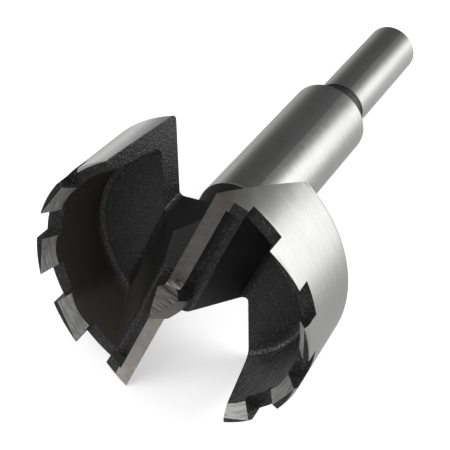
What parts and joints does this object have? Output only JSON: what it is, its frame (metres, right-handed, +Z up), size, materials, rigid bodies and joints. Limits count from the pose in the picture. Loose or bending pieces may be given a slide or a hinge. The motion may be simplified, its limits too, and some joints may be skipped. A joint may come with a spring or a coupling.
{
  "type": "forstner bit",
  "caption": "Saw-tooth forstner drill bit: toothed cutting head with centre point and two chip gullets on a stepped round shank.",
  "frame": {"origin": "on the surface it lies on, under the middle of its bounding box", "axes": "+Z up; +X along the tool's axis seen from above, from the head toward the shank end, which points 12.3 degrees down; +Y to the left of that"},
  "size_m": [0.0954, 0.05, 0.0481],
  "materials": {
    "tool_steel": "ground bright on the side of the head, the hub, the shank and the cutting edges; black oxide in the cups, gullets, notches and on the back"
  },
  "bodies": {
    "root": {"forstner_bit": "tool_steel"}
  },
  "joints": []
}
